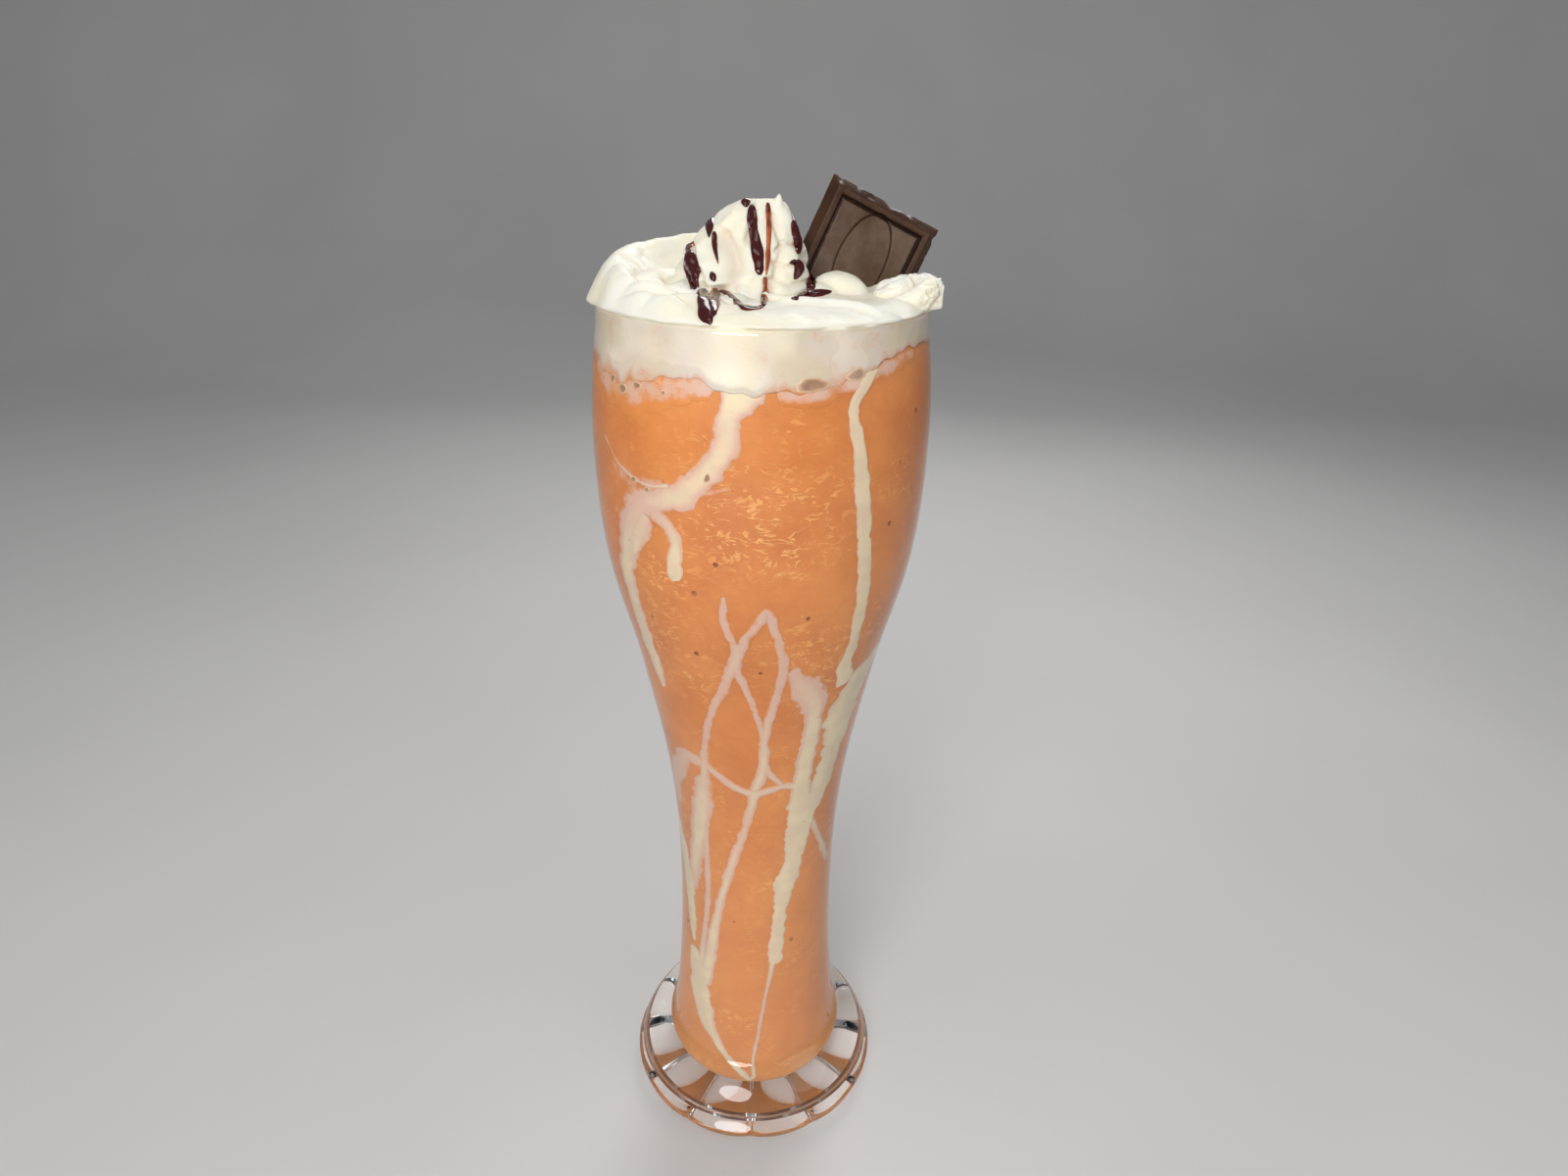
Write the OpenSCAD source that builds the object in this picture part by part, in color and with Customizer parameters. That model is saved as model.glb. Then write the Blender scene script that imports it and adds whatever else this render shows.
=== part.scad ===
// A chocolate milkshake in a tall footed glass, with whipped cream and a square
// of dark chocolate. The glass stands on the origin, its axis is +Z, and the
// drink is seen from the front, along +Y. All sizes are in millimetres.

/* [Glass] */
// Height of the glass from its foot to its rim
glass_h = 240; // [180:1:300]
// Outer diameter of the rim
rim_d = 77.2; // [64:0.2:94]
// Outer diameter of the bowl where it is widest
belly_d = 82.6; // [68:0.2:100]
// Outer diameter of the stem where it is narrowest
waist_d = 45.2; // [37:0.2:56]
// Height of the narrowest place
waist_h = 70; // [56:1:86]
// Outer diameter of the stem just over the foot
ankle_d = 48.6; // [46:0.2:60]
// Height at which the ankle diameter is measured
ankle_h = 32; // [26:1:40]
// Thickness of the wall
wall = 2; // [1.6:0.1:2.6]

/* [Foot] */
// Diameter of the foot
foot_d = 75.6; // [64:0.2:92]
// Height of the foot's dome
foot_h = 19.5; // [16:0.5:24]
// Rounding of the foot's lower edge
foot_round = 1.5; // [1:0.1:2.5]
// Thickness of clear glass under the drink
base_t = 6; // [5:0.5:9]
// Rounding between the inner floor and the inner wall
floor_round = 7; // [5:0.5:9]
// Number of radial flutes pressed into the underside
flute_n = 12; // [8:1:16]
// Radius of a flute at the edge of the foot
flute_r = 2; // [1:0.1:2.6]

/* [Shake] */
// How far the shake stays below the rim
shake_below_rim = 12; // [8:1:30]
// Clearance between the glass and what fills it
fill_gap = 0.15; // [0.1:0.05:0.3]

/* [Whipped cream] */
// Height of the middle peak over the rim
peak_h = 19.5; // [12:0.5:26]
// Height of the ridge along the back over the rim
back_h = 12.5; // [8:0.5:18]
// Height of the soft mounds at the right over the rim
mound_h = 5; // [3:0.5:8]
// Thickness of the coat of cream on the rim
coat_t = 1.2; // [0.8:0.1:2]
// How far the cream hangs out over the rim at the sides
overhang = 3; // [1:0.2:5]
// Depth of the swirl lines in the cream
swirl_depth = 0.7; // [0.2:0.1:1.2]

/* [Chocolate square] */
// Width of the chocolate
choc_w = 28; // [22:0.5:34]
// Length of the chocolate, from its top edge down into the cream
choc_l = 29; // [23:0.5:35]
// Thickness of the chocolate
choc_t = 5; // [3.5:0.1:6]
// How far the sloping sides come in at the front
choc_slope = 1.9; // [1:0.1:3]
// Width of the raised border
choc_border = 1.5; // [1:0.1:3]
// Depth of the sunken panel and of the oval line
choc_sink = 0.7; // [0.4:0.1:1.2]
// Turn of the chocolate in its own plane, clockwise from the front
choc_roll = 27; // [15:1:40]
// Lean of the chocolate away from the front
choc_lean = 6; // [0:1:15]
// Clearance between the chocolate and the cream
choc_gap = 0.2; // [0.15:0.05:0.3]

/* [Hidden] */

rim_r = rim_d / 2;
belly_r = belly_d / 2;
waist_r = waist_d / 2;
ankle_r = ankle_d / 2;
foot_r = foot_d / 2;
belly_h = waist_h + 0.82 * (glass_h - waist_h);
shake_level = glass_h - shake_below_rim;
wall_steps = 44;
arc_steps = 8;

// The flare between waist and belly: shares of its height and of its widening
flare = [[0, 0], [0.286, 0.107], [0.571, 0.497], [0.786, 0.888], [1, 1]];

function sq(x) = x * x;

function lean_at(i) =
    (i == 0 || i == len(flare) - 1) ? 0 :
    (flare[i + 1].y - flare[i - 1].y) / (flare[i + 1].x - flare[i - 1].x);

function hermite(t, h, a, slope_a, b, slope_b) =
    (2 * t * t * t - 3 * t * t + 1) * a + (t * t * t - 2 * t * t + t) * h * slope_a
    + (3 * t * t - 2 * t * t * t) * b + (t * t * t - t * t) * h * slope_b;

function flare_at(t, i = 0) =
    (t <= flare[i + 1].x || i == len(flare) - 2)
    ? let (h = flare[i + 1].x - flare[i].x)
        hermite((t - flare[i].x) / h, h, flare[i].y, lean_at(i), flare[i + 1].y, lean_at(i + 1))
    : flare_at(t, i + 1);

// Outer radius of the stem and bowl at height z
function stem_r(z) =
    z < waist_h ? waist_r + (ankle_r - waist_r) * sq((waist_h - z) / (waist_h - ankle_h)) :
    z < belly_h ? waist_r + (belly_r - waist_r) * flare_at((z - waist_h) / (belly_h - waist_h)) :
    belly_r - (belly_r - rim_r) * sq((z - belly_h) / (glass_h - belly_h));

// Radius of the foot's dome at height z, before it is blended into the stem
dome_in = stem_r(foot_h) - 3.6;
function dome_r(z) =
    z >= foot_h ? dome_in :
    dome_in + (foot_r - dome_in) * sqrt(1 - sq((z - foot_round) / (foot_h - foot_round)));

blend = 5;
function smooth_max(a, b) = max(a, b) + sq(max(blend - abs(a - b), 0)) / (4 * blend);
function outer_r(z) = smooth_max(stem_r(z), dome_r(z));

function inner_r(z) = stem_r(z) - wall;

// The foot is drawn in fine steps and the stem and bowl in wider ones
function outer_wall() = [
    for (i = [0 : 16]) let (z = foot_round + (foot_h + blend - foot_round) * i / 16) [outer_r(z), z],
    for (i = [1 : wall_steps]) let (z = foot_h + blend + (glass_h - wall / 2 - foot_h - blend) * i / wall_steps)
        [stem_r(z), z]
];

function foot_edge() = [
    for (i = [0 : arc_steps - 1]) let (a = -90 + 90 * i / arc_steps, r = outer_r(foot_round))
        [r - foot_round + foot_round * cos(a), foot_round + foot_round * sin(a)]
];

function rim_edge() = [
    for (i = [1 : arc_steps - 1]) let (a = 180 * i / arc_steps, r = wall / 2)
        [rim_r - r + r * cos(a), glass_h - r + r * sin(a)]
];

// The inside from the middle of its floor up to a level, held in from the glass by a gap
function inside(gap, top) = let (
    z0 = base_t + gap,
    corner_z = base_t + floor_round,
    corner_r = inner_r(corner_z) - gap,
    round_in = floor_round - gap
) [
    [0, z0],
    for (i = [0 : arc_steps]) let (a = -90 + 90 * i / arc_steps)
        [corner_r - round_in + round_in * cos(a), corner_z + round_in * sin(a)],
    for (i = [1 : wall_steps]) let (z = corner_z + (top - corner_z) * i / wall_steps)
        [inner_r(z) - gap, z]
];

function flipped(list) = [for (i = [len(list) - 1 : -1 : 0]) list[i]];

module flute(angle) {
    start = 9;
    rotate([0, 0, angle])
        translate([start, 0, -0.3 * flute_r])
            rotate([0, 90, 0])
                cylinder(h = foot_r + 2 - start, r1 = 0.15 * flute_r, r2 = flute_r, $fn = 32);
}

module glass() {
    color([0.86, 0.9, 0.92, 0.35])
        difference() {
            rotate_extrude($fn = 96)
                polygon(concat([[0, 0]], foot_edge(), outer_wall(), rim_edge(),
                    flipped(inside(0, glass_h - wall / 2))));
            for (i = [0 : flute_n - 1])
                flute((i + 0.5) * 360 / flute_n);
        }
}

module shake() {
    color([0.78, 0.48, 0.29])
        rotate_extrude($fn = 96)
            polygon(concat(inside(fill_gap, shake_level), [[0, shake_level]]));
}

// Whipped cream. Places in the top view are shares of the rim's radius.
cream_turns = 90;
cream_rings = 26;
cream_low = shake_level + fill_gap;

function bump(x, width) = exp(-sq(x / width));
function turn_apart(a, b) = abs((a - b + 540) % 360 - 180);

// A leaning peak: its left side is longer than its right one, and folds run down it
function peak(u, v) = let (
    across = (u + 0.1) / (u < -0.1 ? 0.52 : 0.42),
    deep = (v + 0.06) / 0.5,
    far = norm([across, deep]),
    fold = 1 + 0.06 * cos(5 * atan2(deep, across) + 150 * far)
) far * fold >= 1 ? 0 : peak_h * pow(1 - pow(far * fold, 2.2), 1.5);

function back_ridge(far, angle) =
    back_h * pow(0.5 + 0.5 * cos(angle - 112), 1.3) * bump(far - 0.88, 0.2);

function mounds(u, v) =
    mound_h * (bump(norm([u - 0.8, v + 0.1]), 0.24) + bump(norm([u - 0.47, v + 0.06]), 0.2));

function swirl(far, angle) =
    swirl_depth * cos(1150 * far + angle) * bump(turn_apart(angle, 190), 75) * bump(far - 0.75, 0.25);

function cream_top(u, v) = let (far = norm([u, v]), angle = atan2(v, u))
    coat_t + 3 * (1 - far * far) + back_ridge(far, angle) + mounds(u, v)
    + swirl(far, angle) + peak(u, v);

function cream_edge(angle) =
    rim_r - 0.8 + overhang * (bump(turn_apart(angle, 180), 26) + bump(turn_apart(angle, 0), 22))
    + 0.35 * cos(9 * angle);

// Each ring is a function of the angle, from the cream's lower edge up and over to the middle
function cream_side(angle, i) =
    i == 0 ? [inner_r(cream_low) - fill_gap, cream_low] :
    i == 1 ? let (z = (cream_low + glass_h) / 2) [inner_r(z) - fill_gap, z] :
    i == 2 ? [rim_r - wall - fill_gap, glass_h - wall / 2] :
    i == 3 ? [rim_r - wall - fill_gap, glass_h + fill_gap] :
    [cream_edge(angle), glass_h + fill_gap];
cream_sides = 5;

function cream_ring(angle, i) = let (
    share = pow(1 - (i + 1) / cream_rings, 0.85),
    u = share * cos(angle),
    v = share * sin(angle),
    rise = cream_top(u, v) * (1 - pow(share, 16)) + 0.5 * coat_t * pow(share, 16)
) [share * cream_edge(angle), glass_h + fill_gap + rise];

function cream_point(angle, p) = [p[0] * cos(angle), p[0] * sin(angle), p[1]];

cream_rows = cream_sides + cream_rings - 1;
cream_points = [
    for (i = [0 : cream_rows - 1])
        for (j = [0 : cream_turns - 1]) let (angle = 360 * j / cream_turns)
            cream_point(angle, i < cream_sides ? cream_side(angle, i)
                : cream_ring(angle, i - cream_sides)),
    [0, 0, cream_low],
    [0, 0, glass_h + fill_gap + cream_top(0, 0)]
];

function at(i, j) = i * cream_turns + j % cream_turns;

cream_faces = [
    for (i = [0 : cream_rows - 2])
        for (j = [0 : cream_turns - 1])
            for (face = [[at(i, j), at(i + 1, j), at(i + 1, j + 1)],
                         [at(i, j), at(i + 1, j + 1), at(i, j + 1)]])
                face,
    for (j = [0 : cream_turns - 1]) [cream_rows * cream_turns, at(0, j), at(0, j + 1)],
    for (j = [0 : cream_turns - 1])
        [cream_rows * cream_turns + 1, at(cream_rows - 1, j + 1), at(cream_rows - 1, j)]
];

module whipped_cream() {
    color([0.96, 0.94, 0.88])
        difference() {
            polyhedron(points = cream_points, faces = cream_faces, convexity = 6);
            in_place() slab(choc_gap);
        }
}

// The chocolate square is drawn lying down, its front up, and then stood in the cream
choc_front = 0.45 * choc_t;

module slab(grow) {
    hull() {
        translate([-choc_w / 2 - grow, -choc_l / 2 - grow, -grow])
            cube([choc_w + 2 * grow, choc_l + 2 * grow, choc_t - choc_front + 2 * grow]);
        translate([-choc_w / 2 + choc_slope - grow, -choc_l / 2 + choc_slope - grow, 0])
            cube([choc_w - 2 * choc_slope + 2 * grow, choc_l - 2 * choc_slope + 2 * grow, choc_t + grow]);
    }
}

// Its lowest corner stays over the shake, and its middle is half its width and a margin in from the rim
choc_margin = 2;
choc_over = 1.6;
choc_reach = (choc_w * sin(choc_roll) + choc_l * cos(choc_roll)) / 2 * cos(choc_lean);
choc_mid = [rim_r - choc_w / 2 - choc_margin, 6, cream_low + choc_over + choc_reach];

module in_place() {
    translate(choc_mid)
        rotate([90 - choc_lean, 0, 8])
            rotate([0, 0, -choc_roll])
                translate([0, 0, -choc_t / 2])
                    children();
}

function oval(long, wide) = [for (i = [0 : 47]) [wide * cos(7.5 * i), long * sin(7.5 * i)]];

module chocolate_square() {
    panel = choc_slope + choc_border;
    oval_long = 0.4 * choc_l;
    oval_wide = 0.215 * choc_w;
    line = 0.8;
    color([0.2, 0.11, 0.07])
        in_place()
            difference() {
                slab(0);
                translate([-choc_w / 2 + panel, -choc_l / 2 + panel, choc_t - choc_sink])
                    cube([choc_w - 2 * panel, choc_l - 2 * panel, choc_sink + 1]);
                translate([0, 0, choc_t - 1.6 * choc_sink])
                    linear_extrude(height = choc_sink)
                        difference() {
                            polygon(oval(oval_long, oval_wide));
                            polygon(oval(oval_long - line, oval_wide - line));
                        }
            }
}

glass();
shake();
whipped_cream();
chocolate_square();
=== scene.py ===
"""The looks of the chocolate milkshake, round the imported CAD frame: glass, drink, cream, sauce and chocolate.
Lengths are in millimetres and angles in degrees, unless a comment says otherwise. MM makes metres of them."""

import math

import bmesh
import bpy
import numpy as np
from mathutils import Matrix, Vector, noise
from mathutils.bvhtree import BVHTree


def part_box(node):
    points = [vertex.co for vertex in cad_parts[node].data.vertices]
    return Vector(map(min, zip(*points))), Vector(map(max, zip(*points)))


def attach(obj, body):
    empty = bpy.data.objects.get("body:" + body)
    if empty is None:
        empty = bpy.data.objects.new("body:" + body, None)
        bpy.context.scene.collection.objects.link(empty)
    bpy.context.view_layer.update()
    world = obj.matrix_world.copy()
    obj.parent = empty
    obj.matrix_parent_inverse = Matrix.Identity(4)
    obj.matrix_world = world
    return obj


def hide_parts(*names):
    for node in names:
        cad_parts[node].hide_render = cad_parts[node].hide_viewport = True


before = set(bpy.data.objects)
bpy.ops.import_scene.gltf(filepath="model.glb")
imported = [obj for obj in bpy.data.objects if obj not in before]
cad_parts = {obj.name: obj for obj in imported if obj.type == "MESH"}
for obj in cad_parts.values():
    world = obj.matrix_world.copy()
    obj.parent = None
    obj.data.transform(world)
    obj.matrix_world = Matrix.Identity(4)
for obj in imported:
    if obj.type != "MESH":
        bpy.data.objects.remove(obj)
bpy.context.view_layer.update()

MM = 0.001
FILL_GAP = 0.15  # clearance that the CAD leaves between the glass and what fills it
WALL = 2.0  # the glass's thickness
FOOT_ROUND, FOOT_CURVE = 1.5, 4.0  # the CAD's lower edge, and how much softer it looks
FLUTES, FLUTE_R, FLUTE_START = 12, 2.0, 9.0  # the creases under the foot: number, size, and where they start
SHAKE_REACH, CREAM_REACH = 0.25, 0.45  # how far the drink and the cream reach into the glass wall
FLOOR_GAP = 0.2  # keeps the floor from coinciding with the glass's underside


# ---- sizes from the frame
def cad_levels(node):
    """Height and largest radius of each circle of a turned CAD node."""
    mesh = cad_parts[node].data
    co = np.empty(len(mesh.vertices) * 3, np.float32)
    mesh.vertices.foreach_get("co", co)
    levels = {}
    for x, y, z in co.reshape(-1, 3).astype(float) / MM:
        key = round(z, 1)
        levels[key] = max(levels.get(key, 0.0), math.hypot(x, y))
    return np.array(sorted(levels.items()))


GLASS_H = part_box("glass")[1].z / MM
inner_levels = cad_levels("shake")
BASE_Z = inner_levels[0, 0] - FILL_GAP
SHAKE_TOP = inner_levels[-1, 0]


def outer_wall_levels():
    """The glass node's circles that belong to its outer wall, from the foot's edge up to the rounded rim."""
    levels = cad_levels("glass")
    height, radius = levels.T
    drink = np.interp(height, inner_levels[:, 0], inner_levels[:, 1]) + WALL / 2
    beside = levels[(height >= FOOT_ROUND) & (height < SHAKE_TOP) & (radius > drink)]
    over = levels[(height >= SHAKE_TOP) & (height <= GLASS_H - WALL / 2)]
    # Over the drink the circles of both walls mix. The outer ones lie outside a line through all of them.
    line = np.polyfit(over[:, 0], over[:, 1], 2)
    return np.vstack([beside, over[over[:, 1] > np.polyval(line, over[:, 0])]])


outer_levels = outer_wall_levels()
RIM_R = outer_levels[-1, 1] - 0.2  # where the rim is rounded


def smoothed(levels, z, width=1.5):
    """The radius at heights z, with the corners of a stepped outline rounded off."""
    steps = np.linspace(-1, 1, 9)
    weights = 1 - steps**2 + 0.05
    found = [np.interp(z + width * s, levels[:, 0], levels[:, 1]) for s in steps]
    return np.tensordot(weights / weights.sum(), np.array(found), 1)


def outer_r(z):
    return smoothed(outer_levels, np.asarray(z, float))


def inner_r(z):
    """Radius of the inner wall. Over the drink it follows the outer wall."""
    z = np.asarray(z, float)
    low = np.interp(z, inner_levels[:, 0], inner_levels[:, 1]) + FILL_GAP
    return np.where(z < SHAKE_TOP - 2, low, outer_r(z) - WALL)


# ---- meshes
def mesh_object(name, verts, faces, material):
    mesh = bpy.data.meshes.new(name)
    mesh.from_pydata((np.asarray(verts, float) * MM).tolist(), [], faces)
    mesh.update()
    mesh.polygons.foreach_set("use_smooth", [True] * len(mesh.polygons))
    mesh.materials.append(material)
    made = bpy.data.objects.new(name, mesh)
    bpy.context.scene.collection.objects.link(made)
    return made


def mesh_piece(name, verts, faces, material):
    piece = mesh_object(name, verts, faces, material)
    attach(piece, "root")
    return piece


def add_values(piece, name, values, at_ends=()):
    """A number for each vertex, which the piece's material reads. The last vertices can have their own."""
    layer = piece.data.attributes.new(name, "FLOAT", "POINT")
    layer.data.foreach_set("value", np.append(values, at_ends).astype(np.float32))


def grid_faces(rows, across, closed=True, start=0):
    last = across if closed else across - 1
    return [
        (start + i * across + j, start + i * across + (j + 1) % across,
         start + (i + 1) * across + (j + 1) % across, start + (i + 1) * across + j)
        for i in range(rows - 1) for j in range(last)
    ]


def grid_rim(rows, across):
    """The vertices round the edge of a grid, in order."""
    return ([i * across for i in range(rows)] + [(rows - 1) * across + j for j in range(1, across)]
            + [i * across + across - 1 for i in range(rows - 2, -1, -1)] + list(range(across - 2, 0, -1)))


def tube_faces(rows, turns):
    """Faces of a closed piece: rows of points round it, and after them a middle point for each end."""
    low, high, top = rows * turns, rows * turns + 1, (rows - 1) * turns
    faces = grid_faces(rows, turns)
    faces += [(low, (j + 1) % turns, j) for j in range(turns)]
    return faces + [(high, top + j, top + (j + 1) % turns) for j in range(turns)]


def turn_angles(turns):
    return np.linspace(0, 2 * math.pi, turns, endpoint=False)


def spread(rows, turns):
    """Rows of (radius, height) as two grids that are the same all the way round."""
    return (np.repeat(np.array(values, float)[:, None], turns, 1) for values in zip(*rows))


def as_points(x, y, z):
    return np.stack([x, y, z], 2).reshape(-1, 3)


def turned(name, radius, height, material, first, last):
    """A closed piece from rows of points round the axis, with a middle point at each end."""
    angle = turn_angles(radius.shape[1])
    verts = as_points(radius * np.cos(angle), radius * np.sin(angle), height)
    verts = np.vstack([verts, [0, 0, first], [0, 0, last]])
    return mesh_piece(name, verts, tube_faces(*radius.shape), material)


def turn_outwards(piece):
    """Makes all faces of a closed piece face outwards."""
    bm = bmesh.new()
    bm.from_mesh(piece.data)
    bmesh.ops.recalc_face_normals(bm, faces=bm.faces)
    bm.to_mesh(piece.data)
    bm.free()


def joined_surface(pieces):
    """One surface to lay things on, from the meshes of several pieces."""
    verts, faces = [], []
    for piece in pieces:
        start = len(verts)
        verts += [v.co.copy() for v in piece.data.vertices]
        faces += [[start + k for k in p.vertices] for p in piece.data.polygons]
    return BVHTree.FromPolygons(verts, faces)


def noise_at(x, y, z, scale, seed=0.0):
    """Smooth noise from -1 to 1 over arrays of points in millimetres."""
    shape = np.broadcast(x, y, z).shape
    flat = [np.broadcast_to(v, shape).ravel() for v in (x, y, z)]
    found = [noise.noise(Vector((a / scale + seed, b / scale - seed, c / scale)))
             for a, b, c in zip(*flat)]
    return np.array(found).reshape(shape)


def curve_through(points, step):
    """A smooth curve through rows of numbers, at about even steps of its first three."""
    points = np.asarray(points, float)
    lengths = np.linalg.norm(np.diff(points[:, :3], axis=0), axis=1)
    t = np.append(0, np.cumsum(np.maximum(lengths, 1e-6)))
    slope = np.gradient(points, t, axis=0)
    s = np.linspace(0, t[-1], max(4, int(t[-1] / step) + 1))
    k = np.clip(np.searchsorted(t, s, side="right") - 1, 0, len(t) - 2)
    h = (t[k + 1] - t[k])[:, None]
    u = (s - t[k])[:, None] / h
    return ((2 * u**3 - 3 * u**2 + 1) * points[k] + (u**3 - 2 * u**2 + u) * h * slope[k]
            + (3 * u**2 - 2 * u**3) * points[k + 1] + (u**3 - u**2) * h * slope[k + 1])


# ---- materials
class Shader:
    """A material with a Principled shader and a few short ways to feed it."""

    def __init__(self, name, **settings):
        self.material = bpy.data.materials.new(name)
        self.material.use_nodes = True
        self.tree = self.material.node_tree
        self.bsdf = self.tree.nodes["Principled BSDF"]
        for socket, value in settings.items():
            self.bsdf.inputs[socket.replace("_", " ")].default_value = value
        self.place = self.add("ShaderNodeTexCoord").outputs["Object"]

    def add(self, kind, **settings):
        node = self.tree.nodes.new(kind)
        for key, value in settings.items():
            setattr(node, key, value)
        return node

    def feed(self, socket, value):
        if isinstance(value, bpy.types.NodeSocket):
            self.tree.links.new(value, socket)
        else:
            socket.default_value = value

    def noise(self, size, detail=3.0, roughness=0.5, distortion=0.0, place=None):
        """Noise from 0 to 1, with features of this size in millimetres."""
        node = self.add("ShaderNodeTexNoise")
        self.feed(node.inputs["Vector"], place or self.place)
        self.feed(node.inputs["Scale"], 1 / MM / size)
        self.feed(node.inputs["Detail"], detail)
        self.feed(node.inputs["Roughness"], roughness)
        self.feed(node.inputs["Distortion"], distortion)
        return node.outputs["Fac"]

    def cells(self, size):
        """Distance from the middle of the nearest cell, in cells of this size in millimetres."""
        node = self.add("ShaderNodeTexVoronoi")
        self.feed(node.inputs["Vector"], self.place)
        self.feed(node.inputs["Scale"], 1 / MM / size)
        return node.outputs["Distance"]

    def math(self, operation, a, b=0.0):
        node = self.add("ShaderNodeMath", operation=operation)
        for socket, value in zip(node.inputs, (a, b)):
            self.feed(socket, value)
        return node.outputs[0]

    def times(self, a, b):
        return self.math("MULTIPLY", a, b)

    def plus(self, a, b):
        return self.math("ADD", a, b)

    def ramp(self, value, low, high, start=0.0, end=1.0, smooth=True):
        """Value from low to high becomes start to end."""
        node = self.add("ShaderNodeMapRange", interpolation_type="SMOOTHSTEP" if smooth else "LINEAR")
        for socket, number in zip(node.inputs, (value, low, high, start, end)):
            self.feed(socket, number)
        return node.outputs[0]

    def mix(self, share, a, b):
        node = self.add("ShaderNodeMix", data_type="RGBA")
        self.feed(node.inputs["Factor"], share)
        for key, value in (("A", a), ("B", b)):
            socket = next(s for s in node.inputs if s.name == key and s.type == "RGBA")
            self.feed(socket, value)
        return next(s for s in node.outputs if s.type == "RGBA")

    def mottled(self, a, b, size, detail=3.0, roughness=0.5, low=0.3, high=0.7):
        """Two colours that change over in patches of this size in millimetres."""
        return self.mix(self.ramp(self.noise(size, detail, roughness), low, high), a, b)

    def rough(self, size, low, high, detail=3.0):
        """Roughness from low to high, in patches of this size."""
        self.set("Roughness", self.ramp(self.noise(size, detail), 0.3, 0.7, low, high))

    def value(self, name):
        return self.add("ShaderNodeAttribute", attribute_name=name).outputs["Fac"]

    def bump(self, height, depth, strength=1.0):
        """Bumps of this depth in millimetres."""
        node = self.add("ShaderNodeBump")
        self.feed(node.inputs["Height"], height)
        self.feed(node.inputs["Distance"], depth * MM)
        self.feed(node.inputs["Strength"], strength)
        self.tree.links.new(node.outputs["Normal"], self.bsdf.inputs["Normal"])

    def set(self, socket, value):
        self.feed(self.bsdf.inputs[socket], value)


def colour(red, green, blue):
    """A linear colour from 0 to 255 display values."""
    shares = [c / 255 for c in (red, green, blue)]
    return tuple(((c + 0.055) / 1.055) ** 2.4 if c > 0.04 else c / 12.92 for c in shares) + (1.0,)


def glass_material():
    """Clear pressed glass. Lamps shine through it, so that what it holds is lit."""
    s = Shader("clear_glass", IOR=1.5, Transmission_Weight=1.0)
    s.set("Base Color", s.mottled((0.97, 0.98, 0.98, 1), (0.99, 0.99, 0.985, 1), 30))
    s.set("Roughness", s.ramp(s.noise(9, 4), 0.45, 0.8, 0.0, 0.06))
    s.bump(s.noise(14, 1), 0.05, 0.4)
    clear, both = s.add("ShaderNodeBsdfTransparent"), s.add("ShaderNodeMixShader")
    clear.inputs["Color"].default_value = (0.8, 0.8, 0.8, 1)
    s.feed(both.inputs[0], s.add("ShaderNodeLightPath").outputs["Is Shadow Ray"])
    s.feed(both.inputs[1], s.bsdf.outputs[0])
    s.feed(both.inputs[2], clear.outputs[0])
    s.feed(s.tree.nodes["Material Output"].inputs["Surface"], both.outputs[0])
    return s.material


STEM_SPAN = (0.03, 0.15)  # heights in metres between which the drink gets paler downwards


def shake_colour(s):
    """Orange-brown, paler in the stem, with curved light flecks where it froths and small pores darkened with
    painted shade.
    """
    deep, pale = colour(206, 126, 64), colour(222, 146, 78)
    base = s.mottled(deep, pale, 24, 5, 0.65, 0.32, 0.68)
    axes = s.add("ShaderNodeSeparateXYZ")
    s.feed(axes.inputs[0], s.place)
    base = s.mix(s.ramp(axes.outputs[2], *STEM_SPAN, 0.4, 0.0), base, colour(233, 166, 112))
    specks = s.ramp(s.noise(1.6, 4, 0.7), 0.6, 0.74)
    base = s.mix(s.times(specks, 0.35), base, colour(238, 168, 100))
    level = s.add("ShaderNodeVectorMath", operation="MULTIPLY")
    s.feed(level.inputs[0], s.place)
    level.inputs[1].default_value = (1, 1, 2.4)  # makes the flecks longer than they are tall
    line = s.math("ABSOLUTE", s.math("SUBTRACT", s.noise(4.6, 2, 0.5, 0.8, level.outputs[0]), 0.5))
    flecks = s.times(s.ramp(line, 0.02, 0.06, 1.0, 0.0), s.ramp(s.noise(2.4, 2), 0.45, 0.56))
    where = s.plus(s.value("froth"), s.ramp(s.noise(17, 3), 0.46, 0.72, 0.05, 0.55))
    flecks = s.times(flecks, s.math("MINIMUM", where, 1.0))
    base = s.mix(s.times(flecks, 0.75), base, colour(250, 194, 118))
    # Painted shade in the small pores
    pore_shade = s.times(s.ramp(s.cells(8.5), 0.05, 0.09, 1.0, 0.0), s.ramp(s.noise(16, 1), 0.42, 0.55))
    base = s.mix(s.times(pore_shade, 0.75), base, colour(112, 56, 30))
    return base, s.plus(specks, flecks), pore_shade


def shake_material():
    s = Shader("milkshake", Subsurface_Weight=0.1, Subsurface_Scale=0.002, IOR=1.4)
    base, specks, pore_shade = shake_colour(s)
    s.set("Base Color", base)
    s.rough(3, 0.35, 0.55)
    s.bump(s.math("SUBTRACT", specks, s.times(pore_shade, 2.0)), 0.2, 0.7)
    return s.material


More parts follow.
